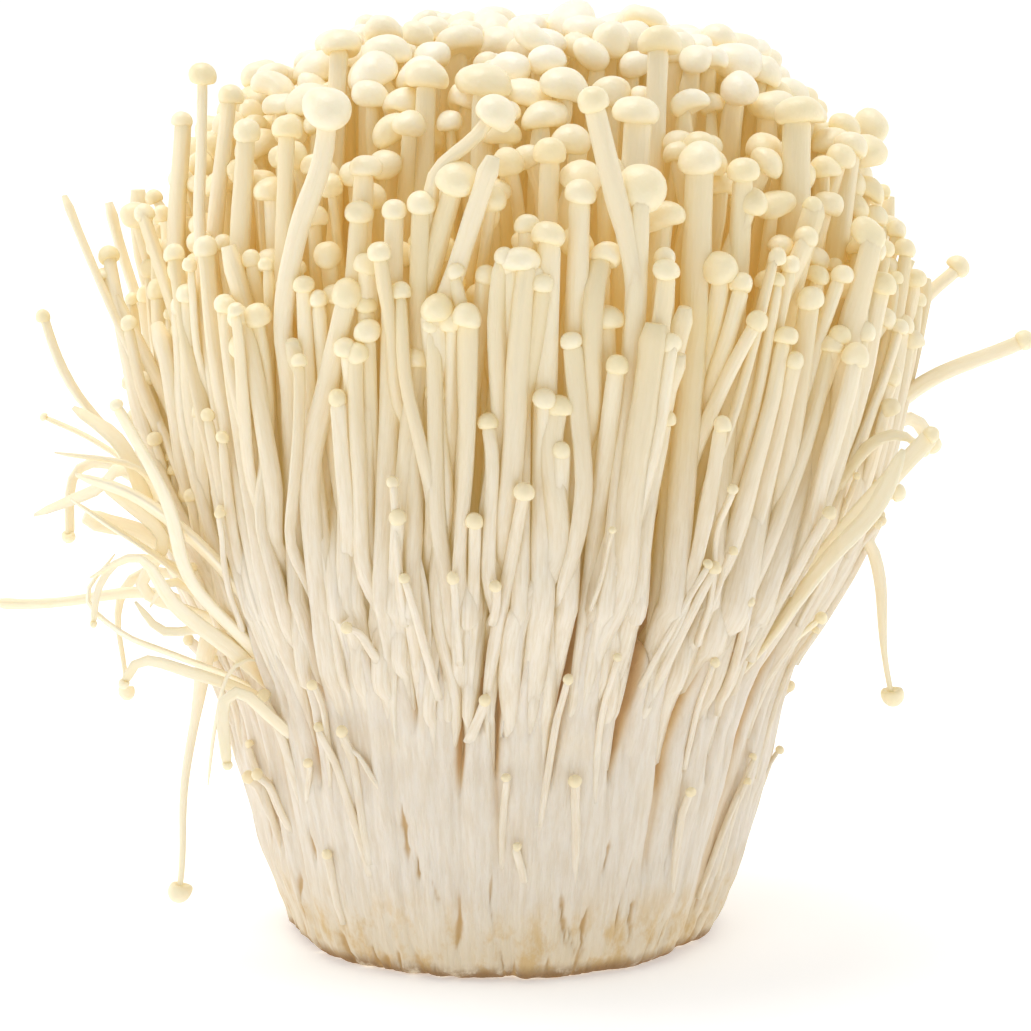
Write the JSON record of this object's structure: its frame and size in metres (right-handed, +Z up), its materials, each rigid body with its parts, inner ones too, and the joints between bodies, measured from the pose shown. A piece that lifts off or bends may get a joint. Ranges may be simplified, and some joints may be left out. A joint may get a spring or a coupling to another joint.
{
  "type": "enoki mushroom bunch",
  "caption": "Upright bunch of long thin pale enoki mushrooms with small round caps, grown together at a flat cut base, with a few stray stems drooping at the sides.",
  "frame": {"origin": "centre of the flat cut underside of the fused base", "axes": "+Z up along the stems, -Y towards the front, +X to the right seen from the front"},
  "size_m": [0.1489, 0.1118, 0.1319],
  "materials": {
    "base_flesh": "matt, fibrous, off-white with tan stains near the cut",
    "clump_flesh": "satin, cream to warm yellow between the stems",
    "mushroom_flesh": "satin, moist, slightly translucent ivory"
  },
  "bodies": {
    "root": {"clump_back": "clump_flesh", "clump_back_left": "clump_flesh", "clump_back_right": "clump_flesh", "clump_front": "clump_flesh", "clump_front_left": "clump_flesh", "clump_front_right": "clump_flesh", "clump_middle": "clump_flesh", "fused_base": "base_flesh", "mushroom_00": "mushroom_flesh", "mushroom_01": "mushroom_flesh", "mushroom_02": "mushroom_flesh", "mushroom_03": "mushroom_flesh", "mushroom_04": "mushroom_flesh", "mushroom_05": "mushroom_flesh", "mushroom_06": "mushroom_flesh", "mushroom_07": "mushroom_flesh", "mushroom_08": "mushroom_flesh", "mushroom_15": "mushroom_flesh", "mushroom_16": "mushroom_flesh", "mushroom_17": "mushroom_flesh", "mushroom_18": "mushroom_flesh", "mushroom_19": "mushroom_flesh", "mushroom_20": "mushroom_flesh", "mushroom_21": "mushroom_flesh", "mushroom_22": "mushroom_flesh", "mushroom_23": "mushroom_flesh", "mushroom_24": "mushroom_flesh", "mushroom_25": "mushroom_flesh", "mushroom_26": "mushroom_flesh", "mushroom_27": "mushroom_flesh", "mushroom_28": "mushroom_flesh", "mushroom_29": "mushroom_flesh", "mushroom_30": "mushroom_flesh", "mushroom_31": "mushroom_flesh", "mushroom_32": "mushroom_flesh", "mushroom_33": "mushroom_flesh", "mushroom_42": "mushroom_flesh", "mushroom_43": "mushroom_flesh", "mushroom_44": "mushroom_flesh", "mushroom_45": "mushroom_flesh", "mushroom_46": "mushroom_flesh", "mushroom_47": "mushroom_flesh", "mushroom_48": "mushroom_flesh", "mushroom_49": "mushroom_flesh", "stray_left_broken": "mushroom_flesh", "stray_left_curled": "mushroom_flesh", "stray_left_drooping": "mushroom_flesh", "stray_left_hanging": "mushroom_flesh", "stray_left_level": "mushroom_flesh", "stray_left_raised": "mushroom_flesh", "stray_left_thin": "mushroom_flesh", "stray_left_upright": "mushroom_flesh", "stray_right_bowed": "mushroom_flesh", "stray_right_hanging": "mushroom_flesh", "stray_right_high": "mushroom_flesh", "stray_right_long": "mushroom_flesh", "stray_right_low": "mushroom_flesh", "stray_right_short": "mushroom_flesh"}
  },
  "joints": []
}
